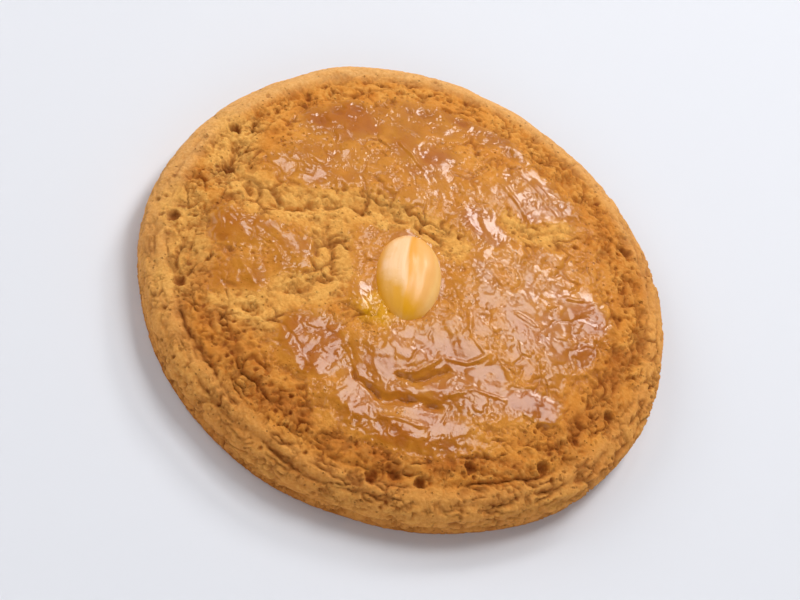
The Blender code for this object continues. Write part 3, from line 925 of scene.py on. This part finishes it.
def times(tree, first, second, clamp=False):
    """The product of two values in a tree."""
    return math_node(tree, "MULTIPLY", first, second, clamp=clamp)


def scaled(tree, value, factor, offset, clamp=True):
    """A value times a factor, plus an offset, kept from 0 to 1 when clamped."""
    return math_node(tree, "MULTIPLY_ADD", value, factor, offset, clamp=clamp)


def mix_colour(tree, factor, first, second):
    """The output of a mix of two colours in a tree."""
    node = tree.nodes.new("ShaderNodeMix")
    node.data_type = "RGBA"
    for place, value in ((0, factor), (6, first), (7, second)):
        plug(tree, node.inputs[place], value)
    return node.outputs[2]


def colour_steps(tree, factor, steps):
    """A colour that runs through named steps as a factor goes from 0 to 1."""
    node = tree.nodes.new("ShaderNodeValToRGB")
    tree.links.new(factor, node.inputs[0])
    ramp = node.color_ramp
    while len(ramp.elements) < len(steps):
        ramp.elements.new(0.5)
    for element, (place, colour) in zip(ramp.elements, steps):
        element.position = place
        element.color = (*colour, 1.0)
    return node.outputs[0]


def object_place(tree):
    """Places on a piece, in its own metres."""
    return tree.nodes.new("ShaderNodeTexCoord").outputs["Object"]


def attribute(tree, name):
    """The stored value of a piece, in its material."""
    node = tree.nodes.new("ShaderNodeAttribute")
    node.attribute_name = name
    return node.outputs["Fac"]


def linear(*colour):
    """A colour as the eye reads it, from 0 to 255, as the light values that a shader takes."""
    shares = [value / 255.0 for value in colour]
    return tuple(share / 12.92 if share <= 0.04045 else ((share + 0.055) / 1.055) ** 2.4
                 for share in shares)


def oven_mottle_group():
    """Soft blotches of browning, large and small, as a mask from 0 to 1."""
    group, inside, out = new_group("oven mottle", {"Mask": "Float"}, Size=6.0, Contrast=1.5)
    place = object_place(group)
    per_metre = math_node(group, "DIVIDE", 1000.0, inside.outputs["Size"])
    large = add(group, "ShaderNodeTexNoise", Vector=place, Scale=per_metre, Detail=4.0, Roughness=0.55)
    shifted = math_node(group, "SUBTRACT", large.outputs["Fac"], 0.5)
    fill(group, out, Mask=scaled(group, shifted, inside.outputs["Contrast"], 0.5))
    return group


def crumb_grain_group():
    """Fine open grain: a height for bump, and a mask of tiny pores, which the dough's colour darkens
    as painted shade.
    """
    group, inside, out = new_group("crumb grain", {"Height": "Float", "Pores": "Float"}, Size=0.6)
    place = object_place(group)
    per_metre = math_node(group, "DIVIDE", 1000.0, inside.outputs["Size"])
    fine = add(group, "ShaderNodeTexNoise", Vector=place, Scale=per_metre, Detail=5.0, Roughness=0.7)
    points = add(group, "ShaderNodeTexVoronoi", Vector=place, Scale=times(group, per_metre, 0.5))
    patchy = add(group, "ShaderNodeTexNoise", Vector=place, Scale=times(group, per_metre, 0.22))
    size = scaled(group, patchy.outputs["Fac"], 0.75, -0.22, clamp=False)
    hole = math_node(group, "SUBTRACT", size, points.outputs["Distance"])
    pores = times(group, hole, 9.0, clamp=True)
    height = scaled(group, pores, -1.1, fine.outputs["Fac"], clamp=False)
    fill(group, out, Height=height, Pores=pores)
    return group


def amber_tint_group():
    """The glaze's colour: gold where it is thin, through amber, to dark brown where it is thick."""
    group, inside, out = new_group("amber tint", {"Colour": "Color"}, Thickness=0.5, Mottle=0.5)
    uneven = scaled(group, inside.outputs["Mottle"], 0.34, -0.17, clamp=False)
    thickness = math_node(group, "ADD", inside.outputs["Thickness"], uneven, clamp=True)
    fill(group, out, Colour=colour_steps(group, thickness, (
        (0.0, GLAZE_THIN), (0.38, GLAZE_GOLD), (0.68, GLAZE_AMBER), (1.0, GLAZE_DARK))))
    return group


# The rim's own pale tan, also painted light on its smooth side
RIM_TAN_AND_LIGHT = linear(248, 193, 122)
CRUMB_GOLD = linear(242, 164, 70)
CRUMB_DEEP = linear(214, 126, 38)
# The paler crumb of torn breaks, and a painted highlight on raised crumbs
BROKEN_CRUMB_AND_HIGHLIGHT = linear(255, 194, 102)
BROWNED_RING = linear(182, 98, 32)
# Painted shade in pits, pores, cracks, breaks and ledges
PAINTED_PIT_SHADE = linear(130, 58, 12)
FOOT_BROWN = linear(190, 112, 42)
GLAZE_THIN = linear(200, 137, 42)
GLAZE_GOLD = linear(189, 121, 22)
GLAZE_AMBER = linear(176, 98, 12)
GLAZE_DARK = linear(146, 68, 6)
HONEY_YELLOW = linear(216, 148, 0)
# The almond's own cream, also a painted highlight on its broad left band
ALMOND_CREAM_AND_HIGHLIGHT = linear(255, 208, 156)
ALMOND_PEACH = linear(245, 178, 94)
ALMOND_GOLD = linear(240, 164, 50)
ALMOND_EDGE = linear(250, 196, 114)
ALMOND_LINE = linear(238, 170, 88)
ALMOND_HONEY = linear(234, 162, 0)
FLOOR_PALE = (0.77, 0.78, 0.82)
FLOOR_SHADE = (0.75, 0.76, 0.80)

# How strongly each colour, painted shade and painted light shows on the skin, and how the wet glaze
# shines
RIM_MOTTLE = 0.4
TORN_SHOWS = 0.6
CRUMB_LIGHT_SHOWS = 0.5
SPECK_SHOWS = 0.4
BROWNED_SHOWS = 0.6
FOOT_SHOWS = 0.75
FOOT_FADE_PER_METRE = 330.0
FOLD_SHADE_SHOWS = 0.8
GLAZE_SPECK_SHOWS = 0.3
GLAZE_HIDES = 0.94
CAVITY_SHADE_SHOWS = 0.82
GLAZE_COAT = 0.56
GLAZE_COAT_ROUGHNESS = 0.13


def new_material(name):
    """A material with a Principled shader, its tree and that shader."""
    material = bpy.data.materials.new(name)
    material.use_nodes = True
    return material, material.node_tree, material.node_tree.nodes["Principled BSDF"]


def skin_material(name, groups):
    """Baked dough, tan to brown, under a film of glaze that may be nothing, thin or deep."""
    mottle, grain, tint = groups
    material, tree, shader = new_material(name)
    film = attribute(tree, "film")
    broad = use_group(tree, mottle, Size=7.0, Contrast=1.9).outputs["Mask"]
    small = use_group(tree, mottle, Size=1.6, Contrast=2.2).outputs["Mask"]
    speck = use_group(tree, mottle, Size=0.45, Contrast=3.2).outputs["Mask"]
    fine = use_group(tree, grain, Size=0.5)

    golden = mix_colour(tree, broad, CRUMB_GOLD, CRUMB_DEEP)
    # The rim's pale tan, partly its own colour and partly painted light on the side where it stayed
    # smooth
    rim_colour = mix_colour(tree, times(tree, small, RIM_MOTTLE), RIM_TAN_AND_LIGHT, CRUMB_GOLD)
    colour = mix_colour(tree, attribute(tree, "rim"), golden, rim_colour)
    # Painted highlight on the tops of raised crumbs, and the real paler crumb of torn breaks
    lifted = times(tree, math_node(tree, "ADD", small, 0.4), attribute(tree, "crumb"), clamp=True)
    lifted = times(tree, lifted, CRUMB_LIGHT_SHOWS)
    lifted = scaled(tree, attribute(tree, "torn"), TORN_SHOWS, lifted, clamp=False)
    colour = mix_colour(tree, lifted, colour, BROKEN_CRUMB_AND_HIGHLIGHT)
    colour = mix_colour(tree, times(tree, speck, SPECK_SHOWS), colour, CRUMB_DEEP)
    browned = times(tree, attribute(tree, "browned"), BROWNED_SHOWS)
    colour = mix_colour(tree, browned, colour, BROWNED_RING)
    separate = add(tree, "ShaderNodeSeparateXYZ", Vector=object_place(tree))
    low = scaled(tree, separate.outputs["Z"], -FOOT_FADE_PER_METRE, 1.0)
    colour = mix_colour(tree, times(tree, low, FOOT_SHOWS), colour, FOOT_BROWN)

    uneven = scaled(tree, broad, 0.6, times(tree, small, 0.4), clamp=False)
    stain = use_group(tree, tint, Thickness=film, Mottle=uneven).outputs["Colour"]
    # Painted shade: the glaze is darkened in the valleys of its folds
    deep = scaled(tree, attribute(tree, "fold"), -FOLD_SHADE_SHOWS, 0.5 * FOLD_SHADE_SHOWS)
    stain = mix_colour(tree, deep, stain, GLAZE_DARK)
    stain = mix_colour(tree, times(tree, speck, GLAZE_SPECK_SHOWS), stain, GLAZE_AMBER)
    wet = scaled(tree, film, 2.6, -0.28)
    colour = mix_colour(tree, times(tree, wet, GLAZE_HIDES), colour, stain)
    colour = mix_colour(tree, attribute(tree, "honey"), colour, HONEY_YELLOW)

    # Painted shade: pores and hollows are darkened towards a shade brown
    pores = times(tree, fine.outputs["Pores"], scaled(tree, film, -0.8, 0.5))
    dark = math_node(tree, "MAXIMUM", attribute(tree, "painted_cavity_shade"), pores, clamp=True)
    colour = mix_colour(tree, times(tree, dark, CAVITY_SHADE_SHOWS), colour, PAINTED_PIT_SHADE)
    dry = scaled(tree, wet, -0.84, 1.0, clamp=False)
    grainy = times(tree, fine.outputs["Height"], dry)
    bump = add(tree, "ShaderNodeBump", Height=grainy, Strength=0.9, Distance=0.4 * MM)
    fill(tree, shader, Base_Color=colour, Roughness=scaled(tree, wet, -0.22, 0.64, clamp=False),
         Specular_IOR_Level=0.1, Coat_Weight=times(tree, wet, GLAZE_COAT),
         Coat_Roughness=GLAZE_COAT_ROUGHNESS, Normal=bump.outputs["Normal"])
    return material


def almond_material(mottle, grain):
    """Skinned almond: cream with soft lengthwise bands, the broad pale one partly a painted highlight,
    and yellow glaze over its lower left end.
    """
    material, tree, shader = new_material("almond_kernel")
    across = attribute(tree, "across")
    along = attribute(tree, "along")

    def streaks(stretch_across, stretch_along, scale, detail):
        """Streaks along the almond."""
        place = add(tree, "ShaderNodeCombineXYZ", X=times(tree, across, stretch_across),
                    Y=times(tree, along, stretch_along)).outputs["Vector"]
        return add(tree, "ShaderNodeTexNoise", Vector=place, Scale=scale, Detail=detail).outputs["Fac"]

    wobble = scaled(tree, streaks(2.2, 0.5, 2.2, 3.0), 0.14, 0.43, clamp=False)
    band = scaled(tree, across, 0.5, wobble)
    # The broad cream band is the almond's own cream with a painted highlight
    colour = colour_steps(tree, band, (
        (0.02, ALMOND_GOLD), (0.10, ALMOND_CREAM_AND_HIGHLIGHT), (0.38, ALMOND_CREAM_AND_HIGHLIGHT), (0.44, ALMOND_GOLD),
        (0.51, ALMOND_GOLD), (0.58, ALMOND_PEACH), (0.80, ALMOND_PEACH), (0.90, ALMOND_EDGE)))
    lines = scaled(tree, streaks(8.0, 1.1, 1.3, 4.0), 2.4, -1.05)
    colour = mix_colour(tree, times(tree, lines, 0.4), colour, ALMOND_LINE)
    tip = scaled(tree, along, 2.6, -1.9)
    colour = mix_colour(tree, times(tree, tip, 0.6), colour, ALMOND_GOLD)

    blotch = use_group(tree, mottle, Size=3.0, Contrast=2.0).outputs["Mask"]
    lower = math_node(tree, "MAXIMUM", scaled(tree, along, -2.6, -1.1, clamp=False), -1.0)
    left = math_node(tree, "MAXIMUM", scaled(tree, across, -1.2, -0.1, clamp=False), -0.8)
    honey = scaled(tree, blotch, 0.8, math_node(tree, "ADD", lower, left))
    colour = mix_colour(tree, times(tree, honey, 0.9), colour, ALMOND_HONEY)
    fine = use_group(tree, grain, Size=0.7)
    height = fine.outputs["Height"]
    ripple = add(tree, "ShaderNodeBump", Height=height, Strength=0.2, Distance=0.12 * MM)
    fill(tree, shader, Base_Color=colour, Roughness=0.42, Specular_IOR_Level=0.3, Coat_Weight=0.25,
         Coat_Roughness=0.25, Normal=ripple.outputs["Normal"])
    return material


def floor_material(mottle):
    """A pale matte floor with barely visible unevenness."""
    material, tree, shader = new_material("pale_floor")
    uneven = use_group(tree, mottle, Size=180.0, Contrast=0.6).outputs["Mask"]
    colour = mix_colour(tree, uneven, FLOOR_PALE, FLOOR_SHADE)
    fill(tree, shader, Base_Color=colour, Roughness=0.7, Specular_IOR_Level=0.2)
    return material


def make_floor(material):
    """A wide round floor that curves up far away on every side."""
    profile = [(0.0, 0.0), (FLOOR_RADIUS, 0.0)]
    for step in range(1, FLOOR_CURVE_STEPS + 1):
        turn = math.pi / 2 * step / FLOOR_CURVE_STEPS
        radius = FLOOR_RADIUS + FLOOR_CURVE * math.sin(turn)
        profile.append((radius, FLOOR_CURVE * (1.0 - math.cos(turn))))
    profile.append((FLOOR_RADIUS + FLOOR_CURVE, 2.0 * FLOOR_CURVE))
    points, _, faces = turned_rings(profile, lambda radius, height: FLOOR_STEP)
    floor = mesh_piece("floor", points, [face[::-1] for face in faces], {})
    floor.data.materials.append(material)


def add_light(name, place, target, width, height, power):
    """A white soft box that faces a target."""
    data = bpy.data.lights.new(name, "AREA")
    data.shape = "RECTANGLE"
    data.size = width
    data.size_y = height
    data.energy = power
    light = bpy.data.objects.new(name, data)
    light.location = place
    light.rotation_euler = (Vector(target) - Vector(place)).to_track_quat("-Z", "Y").to_euler()
    bpy.context.scene.collection.objects.link(light)


def add_lights():
    """Soft boxes round the cookie, small ones for glints, and light on the far walls."""
    for name, place, width, height, power in SOFT_BOXES:
        add_light(name, place, (0.0, 0.0, 0.01), width, height, power)
    for number in range(4):
        turn = math.pi * (0.25 + 0.5 * number)
        place, wall = [(reach * math.cos(turn), reach * math.sin(turn), height)
                       for reach, height in (WALL_WASH_PLACE, WALL_WASH_TARGET)]
        add_light(f"wall_wash_{number}", place, wall, *WALL_WASH_SIZE, WALL_WASH_POWER)
    world = bpy.data.worlds.new("pale surround")
    world.use_nodes = True
    background = world.node_tree.nodes["Background"]
    background.inputs["Color"].default_value = (1.0, 1.0, 1.0, 1.0)
    background.inputs["Strength"].default_value = SURROUND_STRENGTH
    bpy.context.scene.world = world
    bpy.context.scene.view_settings.view_transform = "Standard"


def add_camera():
    """The camera, at the photograph's angle and distance, aimed at the cookie and framed closer."""
    data = bpy.data.cameras.new("camera")
    data.sensor_width = SENSOR_WIDTH
    data.lens = CLOSER * FOCAL_LENGTH_PIXELS / PICTURE_WIDTH_PIXELS * SENSOR_WIDTH
    data.clip_start = 0.01
    data.clip_end = 20.0
    camera = bpy.data.objects.new("camera", data)
    bpy.context.scene.collection.objects.link(camera)
    right = Vector((1.0, 0.0, 0.0))
    back = Vector((0.0, -math.cos(VIEW_ELEVATION), math.sin(VIEW_ELEVATION)))
    up = back.cross(right)
    rolled_right = math.cos(VIEW_ROLL) * right + math.sin(VIEW_ROLL) * up
    rolled_up = math.cos(VIEW_ROLL) * up - math.sin(VIEW_ROLL) * right
    turn = Matrix((rolled_right, rolled_up, back)).transposed()
    place = back * VIEW_DISTANCE + rolled_up * AIM_ABOVE
    camera.matrix_world = Matrix.Translation(place) @ turn.to_4x4()
    bpy.context.scene.camera = camera


def dress(piece, material, node):
    """Give a piece its material, attach it to the root body, and hide the solid's part that it
    replaces.
    """
    piece.data.materials.clear()
    piece.data.materials.append(material)
    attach(piece, "root")
    if node:
        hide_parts(node)


def main():
    mottle = oven_mottle_group()
    grain = crumb_grain_group()
    tint = amber_tint_group()
    groups = (mottle, grain, tint)
    skin = baked_skin()
    dough, shift = make_dough(skin)
    dress(dough, skin_material("baked_dough", groups), "cookie")
    dress(make_glaze(skin, shift), skin_material("amber_glaze", groups), None)
    dress(make_almond(), almond_material(mottle, grain), "almond")
    make_floor(floor_material(mottle))
    add_lights()
    add_camera()


main()
